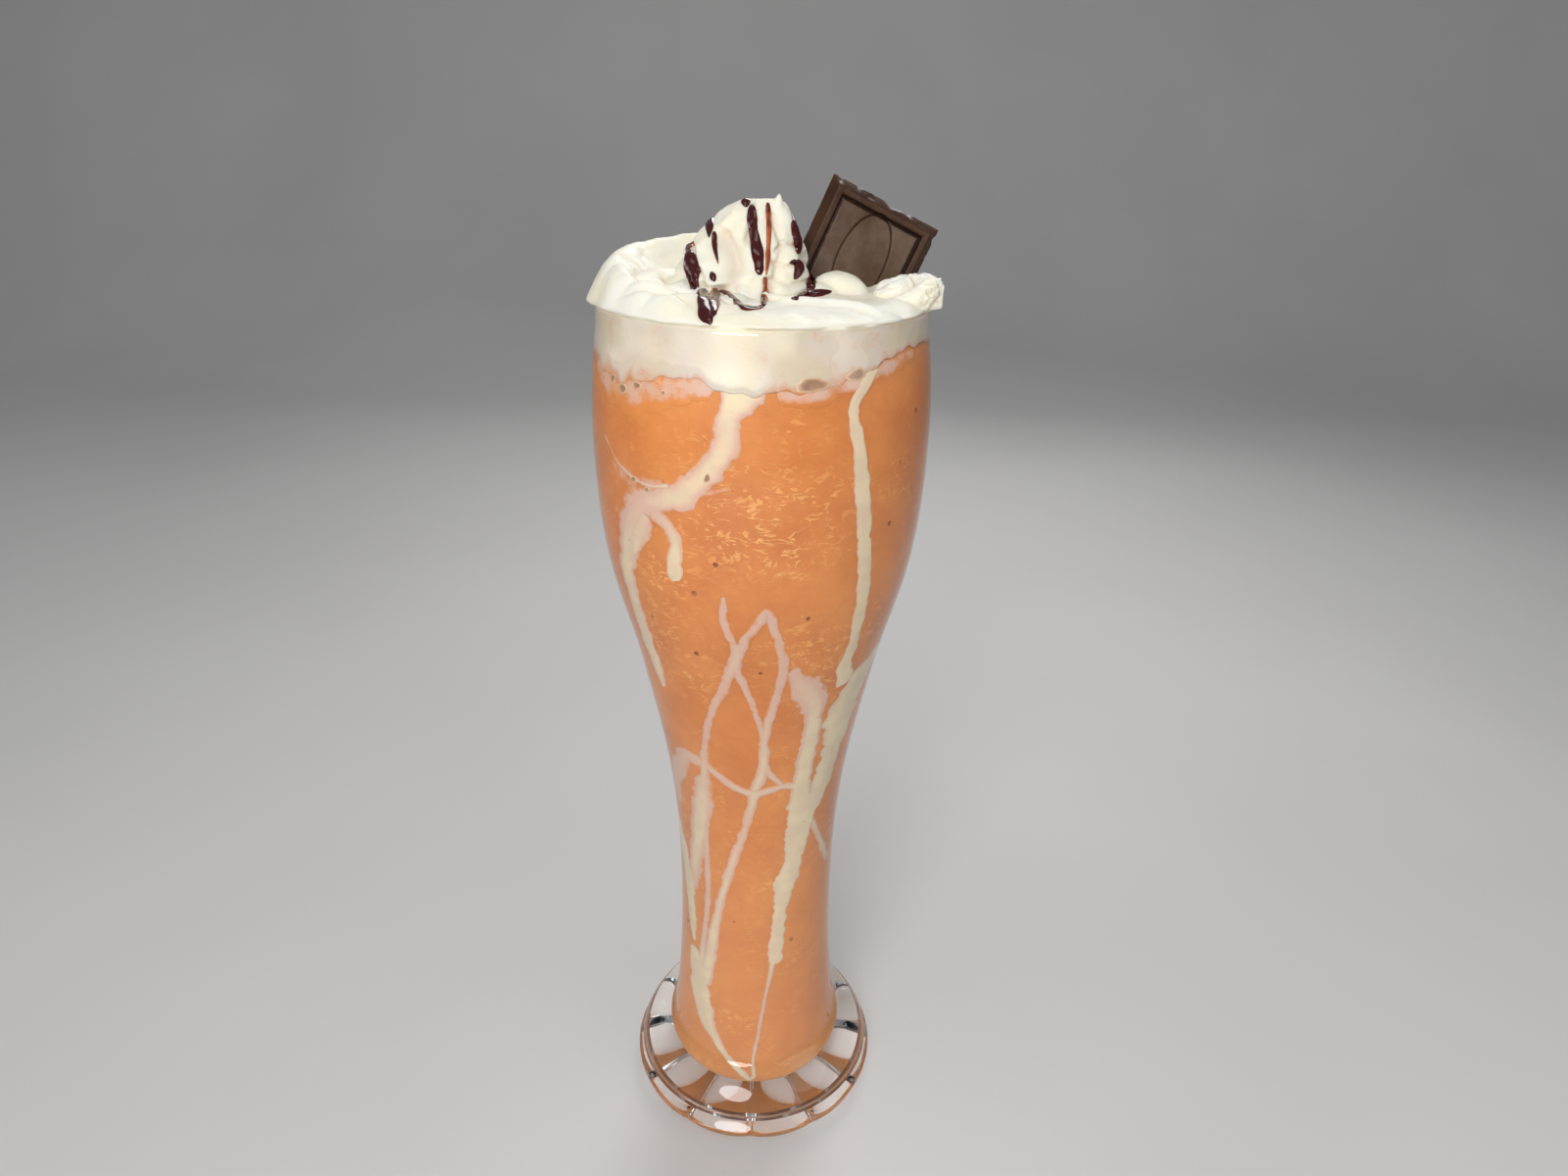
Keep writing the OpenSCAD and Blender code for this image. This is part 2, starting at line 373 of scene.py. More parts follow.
def cream_material():
    """Warm white, with painted shade in the hollows. Against the glass it is greyer, and stained by the drink.
    """
    s = Shader("whipped_cream", Subsurface_Weight=0.35, Subsurface_Scale=0.004, IOR=1.4)
    s.bsdf.inputs["Subsurface Radius"].default_value = (1.0, 0.8, 0.55)
    base = s.mottled(colour(252, 247, 233), colour(250, 242, 217), 16, low=0.35)
    base = s.mix(s.ramp(s.noise(1.6, 4), 0.6, 0.8, 0.0, 0.35), base, colour(243, 232, 204))
    # Painted shade: the hollows between the folds are darkened
    base = s.mix(s.times(s.value("hollow_shade"), 0.7), base, colour(232, 218, 200))
    film = s.value("film")
    pressed = s.mottled(colour(204, 191, 166), colour(208, 196, 184), 13, low=0.38, high=0.62)
    base = s.mix(s.ramp(film, 0.05, 0.3, 0.0, 0.85, smooth=False), base, pressed)
    stain = s.plus(film, s.ramp(s.noise(6, 4, 0.6, 1.0), 0.25, 0.75, -0.3, 0.3))
    base = s.mix(s.ramp(stain, 0.35, 0.85), base, colour(214, 172, 148))
    base = s.mix(s.ramp(stain, 0.75, 1.1), base, shake_colour(s)[0])
    s.set("Base Color", base)
    s.rough(5, 0.38, 0.6)
    grain = s.plus(s.noise(0.7, 3), s.times(s.noise(3, 3), 1.5))
    s.bump(grain, 0.12, 0.5)
    return s.material


def streak_material():
    """Cream smeared on the inside of the glass, thinner and stained by the drink towards its edges."""
    s = Shader("cream_streak", Subsurface_Weight=0.2, Subsurface_Scale=0.002, IOR=1.4)
    film = s.value("film")
    worn = s.plus(film, s.ramp(s.noise(3.5, 4, 0.6), 0.3, 0.75, -0.2, 0.3))
    cream = s.mottled(colour(230, 216, 184), colour(222, 206, 178), 6, low=0.35, high=0.65)
    cream = s.mix(s.ramp(film, 0.1, 0.4), cream, colour(218, 184, 166))
    s.set("Base Color", s.mix(s.ramp(worn, 0.4, 1.05), cream, shake_colour(s)[0]))
    s.rough(3, 0.35, 0.55)
    s.bump(s.noise(1.5, 3), 0.1, 0.4)
    return s.material


def sauce_material():
    """Dark syrup, which shows red-brown where it is thin."""
    s = Shader("chocolate_sauce", Coat_Weight=0.25, Coat_Roughness=0.04, IOR=1.4, Subsurface_Weight=0.1,
               Subsurface_Scale=0.001)
    thin = s.plus(s.value("film"), s.ramp(s.noise(2.2, 3), 0.3, 0.8, -0.2, 0.25))
    s.set("Base Color", s.mix(s.ramp(thin, 0.3, 1.0), colour(66, 10, 7), colour(184, 88, 36)))
    s.rough(2, 0.08, 0.2)
    s.bump(s.noise(1.8, 2), 0.12, 0.4)
    return s.material


def chocolate_material():
    """Dark chocolate, dusty and lighter with a painted sheen on its flat face (panel 1), painted shadow nearly
    black in the sunk lines (-1), and paler on sharp edges from wear and a painted edge highlight.
    """
    s = Shader("dark_chocolate", IOR=1.45, Specular_IOR_Level=0.25)
    base = s.mottled(colour(54, 32, 18), colour(70, 44, 27), 7, 4, 0.6)
    # The flat face is partly real bloom, partly a painted sheen of the light on it
    dust_and_sheen = s.mottled(colour(82, 62, 47), colour(106, 88, 74), 9, 4, 0.6)
    panel = s.value("panel")
    base = s.mix(s.ramp(panel, 0, 1), base, dust_and_sheen)
    # Painted shadow in the groove round the panel and in the oval line
    base = s.mix(s.ramp(panel, -1, 0, 0.85, 0), base, colour(20, 10, 6))
    bloom = s.ramp(s.noise(1.2, 5, 0.7), 0.52, 0.8, 0.0, 0.2)
    base = s.mix(bloom, base, colour(118, 94, 76))
    # Sharp edges paler: partly wear, partly a painted edge highlight
    worn = s.ramp(s.add("ShaderNodeNewGeometry").outputs["Pointiness"], 0.51, 0.57, 0.0, 0.45)
    base = s.mix(worn, base, colour(100, 66, 44))
    s.set("Base Color", base)
    s.rough(2.5, 0.38, 0.58, 4)
    s.bump(s.plus(s.noise(0.6, 4), s.noise(4, 2)), 0.06, 0.5)
    return s.material


def pocket_shade_material():
    """Painted shade: the grey inside of a bubble that lies against the glass, paler towards its rim."""
    s = Shader("air_pocket_shade", Roughness=0.3)
    base = s.mottled(colour(150, 116, 92), colour(176, 140, 112), 3)
    s.set("Base Color", s.mix(s.ramp(s.value("film"), 0.45, 1.0), base, colour(228, 198, 164)))
    s.bump(s.noise(1.5, 2), 0.1, 0.4)
    return s.material


# ---- glass
FLUTE_DEPTH, FLUTE_FADE = 0.8, 9  # depth as a share of FLUTE_R, and the way in which a crease reaches it
CORNER_H = 8  # height in which the inside turns from its floor to its wall
FOOT_END, BODY_START = 27, 29  # the rows are close up to the first height, and wider from the second


def flute_lift(radius, angle):
    """Height by which the underside is lifted into creases between rounded petals."""
    pitch = 2 * math.pi / FLUTES
    petal = np.sin(math.pi * (angle % pitch) / pitch) ** 0.6
    return FLUTE_DEPTH * FLUTE_R * np.clip((radius - FLUTE_START) / FLUTE_FADE, 0, 1) * (1 - petal)


def glass():
    foot_r, half = float(outer_levels[0, 1]), WALL / 2
    corner = inner_levels[inner_levels[:, 0] < BASE_Z + CORNER_H]
    rows = [(r, 0.5 * (1 - r / foot_r)) for r in np.linspace(2, foot_r - FOOT_CURVE - 0.3, 18)]
    rows += [(foot_r - FOOT_CURVE * (1 - math.cos(a)), FOOT_CURVE * (1 + math.sin(a)))
             for a in np.linspace(-math.pi / 2, 0, 13)[:-1]]
    under = len(rows)
    rows += [(float(outer_r(z)) if z > FOOT_CURVE + 1 else foot_r, z)
             for z in np.linspace(FOOT_CURVE, FOOT_END, 28)]
    rows += [(float(outer_r(z)), z) for z in np.linspace(BODY_START, GLASS_H - half, 84)]
    rim = float(outer_r(GLASS_H - half)) - half
    rows += [(rim + half * math.cos(a), GLASS_H - half + half * math.sin(a))
             for a in np.linspace(0, math.pi, 10)[1:-1]]
    rows += [(float(inner_r(z)), z) for z in np.linspace(GLASS_H - half, corner[-1, 0], 84)]
    rows += [(r + FILL_GAP, z) for z, r in corner[::-1][1:-1]]
    rows += [(r, BASE_Z) for r in np.linspace(corner[0, 1], 2, 6)]
    turns = FLUTES * 32
    radius, height = spread(rows, turns)
    # The creases fade out round the lower edge of the foot
    fade = np.clip((FOOT_CURVE - height) / FOOT_CURVE, 0, 1) ** 0.7
    fade[under:] = 0
    height = height + flute_lift(radius, turn_angles(turns)) * fade
    piece = turned("glass_body", radius, height, glass_material(), 0.45, BASE_Z)
    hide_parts("glass")
    return piece


# ---- drink
# Where the drink froths: angle, height, half width in degrees, half height and share
FROTH = (
    (-90, 196, 20, 8, 1.0), (-72, 205, 24, 6, 0.5), (-60, 158, 16, 14, 0.55), (-86, 92, 22, 16, 0.15),
    (-110, 160, 16, 8, 0.35), (-122, 186, 12, 6, 0.6), (-100, 214, 22, 6, 0.3), (60, 200, 26, 12, 0.7),
    (130, 150, 24, 14, 0.6), (20, 110, 24, 16, 0.5),
)
SHAKE_TURNS = 180
COVER = 5  # how far under the rim the drink ends, well inside the cream


def shake():
    corner = inner_levels[inner_levels[:, 0] < BASE_Z + CORNER_H]
    floor, top = BASE_Z - SHAKE_REACH, GLASS_H - COVER
    rows = [(r, floor) for r in np.linspace(2, corner[0, 1], 6)]
    rows += [(r + FILL_GAP + SHAKE_REACH, z - SHAKE_REACH) for z, r in corner[1:]]
    rows += [(float(inner_r(z)) + SHAKE_REACH, z) for z in np.linspace(corner[-1, 0] + 1, top, 110)]
    rows += [(r, top) for r in np.linspace(34, 4, 6)]
    radius, height = spread(rows, SHAKE_TURNS)
    piece = turned("milkshake", radius, height, shake_material(), floor, top)
    angle = np.degrees(turn_angles(SHAKE_TURNS))
    froth = sum(share * bump(turn_apart(angle, at) / wide, 1) * bump((height - z) / tall, 1)
                for at, z, wide, tall, share in FROTH)
    add_values(piece, "froth", froth, (0, 0))
    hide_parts("shake")
    return piece


# ---- cream
def bump(x, width):
    """1 at 0, and next to nothing from twice the width on."""
    return np.exp(-((x / width) ** 2))


def turn_apart(a, b):
    """The angle in degrees between two directions."""
    return np.abs((a - b + 540) % 360 - 180)


def lobe(x, y, at, long, wide, turn, base, tall, power=0.6):
    """A puffy fold: a cap over an ellipse, or far below where it isn't."""
    a = math.radians(turn)
    dx, dy = x - at[0], y - at[1]
    u, v = (dx * math.cos(a) + dy * math.sin(a)) / long, (dy * math.cos(a) - dx * math.sin(a)) / wide
    inside = 1 - u * u - v * v
    return np.where(inside > 0, base + tall * np.maximum(inside, 0) ** power, -9.0)


def soft_max(a, b, blend):
    """The larger one, with the corner between them rounded."""
    return np.maximum(a, b) + np.maximum(blend - np.abs(a - b), 0) ** 2 / (4 * blend)


def from_line(x, y, path):
    """Distance of points from a line of corners."""
    path = np.asarray(path, float)
    near = np.full(np.shape(x), 1e9)
    for (ax, ay), (bx, by) in zip(path, path[1:]):
        t = np.clip(((x - ax) * (bx - ax) + (y - ay) * (by - ay)) / ((bx - ax) ** 2 + (by - ay) ** 2), 0, 1)
        near = np.minimum(near, np.hypot(x - ax - t * (bx - ax), y - ay - t * (by - ay)))
    return near


# Folds of the cream layer: middle in the top view, half length, half width, turn, base over the rim, height
# over the base, and a power that rounds it (less is flatter on top)
CREAM_FOLDS = (
    ((17.2, -3), 7.8, 6.5, -8, 1.5, 6.4, 0.55),
    ((12, -8), 7, 5, 20, 1.0, 4.6, 0.6),
    ((23, 9), 9, 6, 20, 1.0, 5.0, 0.6),
    ((-24, 2), 10, 8, 30, 1.0, 6.0, 0.6),
    ((0, 16), 18, 9, 5, 1.0, 6.5, 0.6),
)
# The lip in front of the right-hand side, as corners in the top view
FRONT_LIP = ((1, -20), (6, -23), (14, -22), (20, -23), (25, -26), (30, -24))
RIDGE_H, RIDGE_TURN = 12.0, 112  # the ridge along the back, and the angle at which it is highest


def cream_height(x, y):
    """Height of the cream layer over the rim at points of the top view."""
    far, angle = np.hypot(x, y) / RIM_R, np.degrees(np.arctan2(y, x))
    height = 1.2 + 3.0 * (1 - far**2)
    height += RIDGE_H * (0.5 + 0.5 * np.cos(np.radians(angle - RIDGE_TURN))) ** 1.3 * bump(far - 0.9, 0.2)
    # Swirled ridges over the left, one behind the other and crossed by a few scallops
    warp = noise_at(x, y, 0, 11.0, 2.0)
    scallop = np.abs(np.sin(np.pi * (angle + 34 * far + 7 * warp) / 19.0)) ** 0.55
    swirl = np.abs(np.sin(np.pi * (far * RIM_R / 6.3 + angle / 170 + 0.9 * warp))) ** 0.55
    left = bump(turn_apart(angle, 211), 43)
    left = left * np.clip((0.99 - far) / 0.1, 0, 1) * np.clip((far - 0.3) / 0.2, 0, 1)
    height += left * (1.7 * scallop + 2.5 * swirl - 1.2)
    for fold in CREAM_FOLDS:
        height = soft_max(height, lobe(x, y, *fold), 0.8)
    lip = from_line(x, y, FRONT_LIP)
    height += 1.5 * bump(lip, 1.1) - 0.7 * bump(lip - 3.0, 1.8) * (y > -23)
    return height


def cream_edge(angle):
    """Radius of the cream's outer edge over the rim: it hangs out at the left and the right."""
    left = 2.0 * bump(turn_apart(angle, 183), 10) + 1.2 * bump(turn_apart(angle, 182), 26)
    right = 1.6 * bump(turn_apart(angle, 2), 20)
    waves = 0.25 * np.cos(np.radians(9 * angle)) + 0.2 * np.sin(np.radians(23 * angle))
    return RIM_R - 0.5 + left + right + waves


# Angle and height of the cream's lower edge on the inside of the glass, round from the back
CREAM_LINE = (
    (-180, 229.5), (-165, 230), (-156, 228), (-145, 226), (-136, 226), (-127, 227.5), (-119, 229),
    (-110, 229.5), (-104, 228), (-98, 226.5), (-90, 226.5), (-82, 227.5), (-73, 227), (-65, 228.5),
    (-56, 230), (-48, 231.5), (-40, 233.5), (-27, 234), (-13, 233.5), (0, 231), (20, 229), (45, 231),
    (70, 228.5), (100, 230.5), (125, 228), (150, 231), (168, 229), (180, 229.5),
)


def cream_line(angle):
    a, z = np.array(CREAM_LINE).T
    smooth = sum(np.interp((angle + step + 180) % 360 - 180, a, z) for step in (-3, 0, 3)) / 3
    return smooth + 0.35 * np.sin(np.radians(29 * angle)) + 0.25 * np.sin(np.radians(53 * angle + 40))


def hollows(values, depth):
    """From 0 to 1: how far each value of a grid lies below those round it."""
    blurred = values
    for _ in range(3):
        blurred = sum(np.roll(blurred, step, axis=1) for step in range(-4, 5)) / 9
        padded = np.pad(blurred, ((4, 4), (0, 0)), mode="edge")
        blurred = sum(padded[k:k + len(values)] for k in range(9)) / 9
    return np.clip((blurred - values) / depth + 0.1, 0, 1)


CREAM_TURNS, CREAM_BAND, CREAM_RINGS = 420, 22, 150  # round it, up the glass, and in from the edge
PLUG_R, PLUG_RISE = 20, 3  # its underside rises to a middle that the drink hides


def cream():
    """The layer: a plug inside the glass, the band that shows through it, and what stands over the rim."""
    angle = np.linspace(-180, 180, CREAM_TURNS, endpoint=False)
    cos, sin = np.cos(np.radians(angle)), np.sin(np.radians(angle))
    low = cream_line(angle)
    rows = [(0 * low + PLUG_R, low + PLUG_RISE), (inner_r(low + 1.5) - 1.2, low + 1.5),
            (inner_r(low) + 0.1, low), (inner_r(low + 0.4) + CREAM_REACH, low + 0.4)]
    for share in np.linspace(0.05, 1, CREAM_BAND):
        z = low + (GLASS_H - 1 - low) * share
        rows.append((inner_r(z) + CREAM_REACH, z))
    band = len(rows)
    edge = cream_edge(angle)
    rows.append((0 * low + RIM_R - 1.2, 0 * low + GLASS_H + 0.1))
    rows.append((edge - 0.5, 0 * low + GLASS_H + FILL_GAP))
    for share in 1 - np.arange(CREAM_RINGS) / CREAM_RINGS:
        rise = cream_height(share * edge * cos, share * edge * sin) * (1 - share**24) + 0.6 * share**24
        rows.append((share * edge, GLASS_H + FILL_GAP + rise))
    radius, height = (np.array([row[k] for row in rows]) for k in (0, 1))
    x, y = radius * cos, radius * sin
    free = height > GLASS_H + 0.6
    rough = 0.4 * noise_at(x, y, height, 6.0) + 0.16 * noise_at(x, y, height, 2.0, 7.0)
    height = height + np.where(free, rough, 0)
    # The drink stains the band from below, higher up in three places
    reach = 1.6 + 3.0 * bump(turn_apart(angle, -140), 32) + 2.0 * bump(turn_apart(angle, -66), 18)
    reach += 2.0 * bump(turn_apart(angle, 80), 90)
    stain = np.zeros(radius.shape)
    stain[:band] = 0.3 + 0.16 * noise_at(x[:band], y[:band], height[:band], 7.0, 1.0)
    stain[:band] += 0.75 * np.clip(1 - (height[:band] - low) / reach, 0, 1) ** 1.3
    stain[:band] *= 1 - 0.45 * bump(turn_apart(angle, -100), 13)
    # The mask of painted shade in the hollows between the folds
    hollow_shade = np.where(free, hollows(height, 1.6), 0)
    # The rows start at an angle of -180 degrees, and turned() starts at 0
    radius, height, stain, hollow_shade = (np.roll(values, CREAM_TURNS // 2, axis=1)
                                     for values in (radius, height, stain, hollow_shade))
    ends = float(low.mean()) + PLUG_RISE, float(height[-1].mean())
    piece = turned("cream_layer", radius, height, materials["cream"], *ends)
    add_values(piece, "film", stain, (1, 0))
    add_values(piece, "hollow_shade", hollow_shade, (0, 0))
    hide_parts("whipped_cream")
    return piece


# Outline of the tall dollop: height, left and right in x, front and back in y
PEAK_ROWS = (
    (241.0, -18.5, 11.2, -18.5, 13.0), (242.6, -19.8, 11.6, -20.0, 14.0), (244.5, -20.6, 11.9, -19.6, 14.0),
    (247.0, -20.6, 11.3, -17.8, 13.0), (250.2, -20.0, 10.6, -15.4, 11.5), (253.5, -17.4, 9.9, -12.4, 9.5),
    (256.3, -14.6, 8.6, -9.6, 7.5), (258.6, -11.9, 7.3, -7.4, 5.8), (260.4, -9.6, 6.3, -5.8, 4.2),
    (261.6, -7.6, 5.4, -4.6, 2.8), (262.4, -6.0, 4.4, -3.8, 1.4), (262.9, -4.8, 2.8, -3.2, 0.0),
)
# Creases and ridges on its front: corners in (x, z), depth (less than 0 for a ridge) and half width
PEAK_CREASES = (
    (((-9.5, 255.5), (-6.5, 252.5), (-5.4, 249.5), (-6.0, 246.5), (-8.5, 245)), 2.4, 1.7),
    (((-13.5, 253.5), (-10.5, 256.5), (-6.0, 260.5)), -1.1, 0.9),
    (((-3.0, 262.5), (-2.0, 259), (-3.4, 255)), 1.3, 0.9),
    (((-16.5, 254), (-15.0, 250), (-13.0, 247), (-12.5, 243)), 1.6, 1.0),
    (((-18.8, 250), (-17.2, 247), (-17.0, 243)), 1.2, 0.8),
    (((2.5, 259.5), (4.6, 254), (3.6, 249), (1.8, 244)), 1.3, 0.9),
    (((3.0, 253.0), (5.5, 254.6), (9.5, 253.2)), 1.0, 0.55),
    (((2.2, 250.6), (5.5, 249.6), (10.5, 251.6)), 1.0, 0.55),
    (((3.4, 247.2), (6.6, 245.9), (10.5, 246.4)), 0.9, 0.6),
    (((1.6, 247), (1.9, 244.5), (1.8, 242)), 2.0, 0.8),
    (((-15, 247.6), (-10.5, 246.2), (-6.5, 246.9), (-2.5, 248)), -0.9, 0.9),
    (((-9, 243.4), (-5.5, 244.6), (-3.0, 242.8)), 0.9, 0.7),
    (((-3.4, 253.5), (0.4, 251.6), (2.0, 247.6)), -0.7, 0.9),
)


PEAK_TURNS, PEAK_STEP = 260, 0.16  # points in a row, and the way between rows
PEAK_LIP, PEAK_LIP_H = 249, 8  # the lip that stands on the layer starts at this height, and how tall it is
NIB_X, NIB_Y, NIB_Z, NIB_H = 3.4, -2.6, 261, 1.7  # the small point on top


def cream_peak():
    """The tall dollop, turned row by row, with a lip that stands on the layer."""
    rows = curve_through([(0, row[0], 0, *row) for row in PEAK_ROWS], PEAK_STEP)[:, 3:]
    count = len(rows)
    angle = turn_angles(PEAK_TURNS)
    z, left, right, front, back = (rows[:, k, None] for k in range(5))
    cos, sin = np.cos(angle), np.sin(angle)
    middle = (left + right) / 2
    x = middle + (right - left) / 2 * cos * (1 - 0.06 * np.cos(4 * angle))
    y = np.where(sin < 0, -front * sin, back * sin) * (1 - 0.04 * np.cos(4 * angle))
    z = np.repeat(z, PEAK_TURNS, 1)
    # The lip hangs lowest at the front, a little to the left of the middle
    lip = 1.9 - 2.6 * bump(x + 1.5, 4.2) * (sin < 0) + 0.6 * np.sin(3 * angle + 1)
    z = z + np.clip((PEAK_LIP - z) / PEAK_LIP_H, 0, 1) * lip
    # Soft folds that turn with the height, from the star-shaped nozzle
    turned_by = angle + 0.09 * (z - 243)
    fold = 0.035 * np.cos(5 * turned_by + 1.0) + 0.02 * np.cos(8 * turned_by)
    inward = np.zeros(x.shape)
    for path, depth, width in PEAK_CREASES:
        inward += depth * bump(from_line(x, z, path), width) * (sin < 0.15)
    size = np.maximum(np.hypot(x - middle, y), 0.3)
    # The mask of painted shade along the creases
    hollow_shade = np.clip(inward / 1.6, 0, 1)
    scale = 1 + fold - np.minimum(inward / size, 0.5)
    scale += (0.5 * noise_at(x, y, z, 5.5, 3.0) + 0.2 * noise_at(x, y, z, 2.0, 9.0)) / np.maximum(size, 4)
    # The lowest rows draw in under the lip
    under = 1 - 0.12 * (1 - np.clip(np.arange(count) / count / 0.05, 0, 1))[:, None] ** 2
    x, y = middle + (x - middle) * scale * under, y * scale * under
    verts = as_points(x, y, z)
    verts = np.vstack([verts, [middle[0, 0], -2, 241], [middle[-1, 0], y[-1].mean(), z[-1].max() + 0.1]])
    x, y, z = verts.T
    verts[:, 2] += NIB_H * bump(x - NIB_X, 0.8) * bump(y - NIB_Y, 1.2) * (z > NIB_Z)
    piece = mesh_piece("cream_peak", verts, tube_faces(count, PEAK_TURNS), materials["cream"])
    add_values(piece, "hollow_shade", hollow_shade, (0, 0))
    return piece


ROSETTE_X, ROSETTE_Y, ROSETTE_Z = 33.2, -4.5, 240.6
ROSETTE_LEFT, ROSETTE_RIGHT, ROSETTE_DEEP, ROSETTE_H = 7.4, 8.0, 8.5, 6.4
ROSETTE_EYE = 32.6  # x of the point in which its ruffles meet
ROSETTE_OUT = 2.9  # how far it may stand out past the rim


def cream_rosette():
    """The ruffled puff in front of the chocolate's lower right corner."""
    turns, count = 200, 80
    angle = turn_angles(turns)
    cos, sin = np.cos(angle), np.sin(angle)
    share = np.linspace(0.02, 1, count)[:, None]
    rim = np.sin(share * math.pi * 0.56)
    petals = np.abs(np.cos(2.5 * angle + 3.4 * share + 0.9 + 0.5 * np.sin(2 * angle))) ** 0.6
    reach = rim * (0.84 + 0.22 * petals)
    x = ROSETTE_X + np.where(cos > 0, ROSETTE_RIGHT, ROSETTE_LEFT) * reach * cos
    y = ROSETTE_Y + ROSETTE_DEEP * reach * sin
    ruffled = (0.72 + 0.36 * petals) * (0.98 + 0.02 * np.minimum(x - ROSETTE_EYE, 2))
    z = ROSETTE_Z + ROSETTE_H * np.cos(share * math.pi * 0.5) ** 0.6 * ruffled
    # It is more ragged at the right
    right = np.clip((x - 34) / 5, 0, 1)
    jag, fine = (1 - 2 * np.abs(noise_at(x, y, z, size, seed)) for size, seed in ((2.6, 4.0), (1.2, 8.0)))
    out = (0.35 + 0.6 * right) * jag + (0.15 + 0.35 * right) * fine
    x = x + out * cos * rim * 1.1
    y = y + out * sin * rim
    z = z + out * 1.1 * (1 - 0.6 * rim)
    keep = np.minimum(1, (RIM_R + ROSETTE_OUT) / np.hypot(x, y))
    verts = as_points(x * keep, y * keep, z)
    verts = np.vstack([verts, [ROSETTE_EYE, ROSETTE_Y, z[0].mean()], [ROSETTE_EYE, ROSETTE_Y, ROSETTE_Z]])
    faces = [f[::-1] for f in tube_faces(count, turns)]
    piece = mesh_piece("cream_rosette", verts, faces, materials["cream"])
    # Painted shade between the ruffles
    add_values(piece, "hollow_shade", 0.8 * (1 - petals) ** 1.5, (0, 0))
    return piece


# ---- streaks on the inside of the glass
# Where a streak's points lie across it, from edge to edge
RIBBON = np.array([-1, -0.94, -0.85, -0.6, -0.3, 0, 0.3, 0.6, 0.85, 0.94, 1])


def ribbon_faces(count, across):
    """Faces of a flat closed strip: its top, its underside and the band round its edge."""
    size = count * across
    faces = [f[::-1] for f in grid_faces(count, across, closed=False)]
    faces += grid_faces(count, across, closed=False, start=size)
    rim = grid_rim(count, across)
    return faces + [(a, b, b + size, a + size) for a, b in zip(rim, rim[1:] + rim[:1])]


STREAK_STEP, STREAK_THICK = 0.5, 1.2  # the way between its rows, and its thickness
EDGE_SINK, THIN_SINK = 0.15, 0.17  # how much less an edge and a thin film reach into the glass


def streak(name, path, seed):
    """A smear of cream on the inner wall along rows of (angle, height, half width, thinness)."""
    place = [(math.radians(a) * float(inner_r(z)), z, 0, w, sum(thin)) for a, z, w, *thin in path]
    s, z, _, width, thin = curve_through(place, STREAK_STEP).T
    count = len(s)
    tangent = np.gradient(np.stack([s, z], 1), axis=0)
    tangent /= np.linalg.norm(tangent, axis=1)[:, None]
    ends = np.minimum(np.arange(count), np.arange(count)[::-1]) * STREAK_STEP
    round_end = np.sqrt(np.clip((ends + 0.2) / (0.6 * width + 0.2), 0, 1))
    # Each side wavers by itself
    wave = [1 + 0.28 * noise_at(s, z, seed + k, 3.2) + 0.2 * noise_at(s, z, seed + k, 1.3) for k in (0, 40)]
    half = np.where(RIBBON < 0, wave[0][:, None], wave[1][:, None]) * RIBBON
    half *= (width * (1 + 0.9 * thin) * round_end)[:, None]
    wall = inner_r(z)[:, None]
    thin = thin[:, None]
    film = np.clip(thin + (0.35 + 1.9 * thin) * np.abs(RIBBON) ** 3, 0, 1.3)
    angle = (s[:, None] - tangent[:, 1, None] * half) / wall
    z = np.clip(z[:, None] + tangent[:, 0, None] * half, BASE_Z + 2, SHAKE_TOP + 8)
    radius = inner_r(z) + CREAM_REACH - THIN_SINK * np.minimum(film, 1) - EDGE_SINK * (np.abs(RIBBON) > 0.99)
    sides = [as_points(r * np.cos(angle), r * np.sin(angle), z) for r in (radius, radius - STREAK_THICK)]
    piece = mesh_piece(name, np.vstack(sides), ribbon_faces(count, len(RIBBON)), materials["streak"])
    add_values(piece, "film", [film, film])
    return piece


